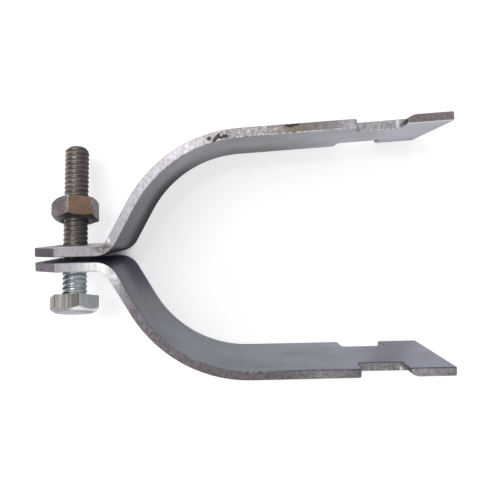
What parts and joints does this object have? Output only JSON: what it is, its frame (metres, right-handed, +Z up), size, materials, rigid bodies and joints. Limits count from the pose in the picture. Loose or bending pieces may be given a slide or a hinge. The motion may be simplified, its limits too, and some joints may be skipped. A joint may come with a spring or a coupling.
{
  "type": "strut pipe clamp",
  "caption": "Strut channel pipe clamp: bent galvanised straps with notched feet, joined at their ears by a hexagon bolt with its nut run loose.",
  "frame": {"origin": "on the axis of the clamped pipe's seat, level with the straps' lower edges", "axes": "+X from the bolted ears to the notched feet, +Y from the lower strap of the picture to the upper one, +Z up, along the pipe's axis"},
  "size_m": [0.0999, 0.0623, 0.0318],
  "materials": {
    "galvanised_strap": "satin, hot-rolled zinc with faint rolling streaks",
    "plated_bolt": "dulled zinc plating",
    "browned_nut": "plating browned by age"
  },
  "bodies": {
    "lower_strap": {"lower_strap": "galvanised_strap"},
    "upper_strap": {"upper_strap": "galvanised_strap"},
    "hex_bolt": {"hex_bolt": "plated_bolt"},
    "hex_nut": {"hex_nut": "browned_nut"}
  },
  "joints": [
    {"name": "strap_swivel", "type": "hinge", "parent": "lower_strap", "child": "upper_strap", "pos_m": [-0.04448, 0, 0.01588], "axis": [0, 1, 0], "continuous": true},
    {"name": "bolt_spin", "type": "hinge", "parent": "lower_strap", "child": "hex_bolt", "pos_m": [-0.04448, 0, 0.01588], "axis": [-0.0098, 0.9687, -0.248], "range_deg": [-3966.5, 1303.3]},
    {"name": "nut_travel", "type": "slide", "parent": "lower_strap", "child": "hex_nut", "axis": [-0.0098, 0.9687, -0.248], "range_m": [-0.0046, 0.014]}
  ],
  "couplings": [
    {"joint": "nut_travel", "follows": "bolt_spin", "m_per_rad": -0.00020213}
  ]
}
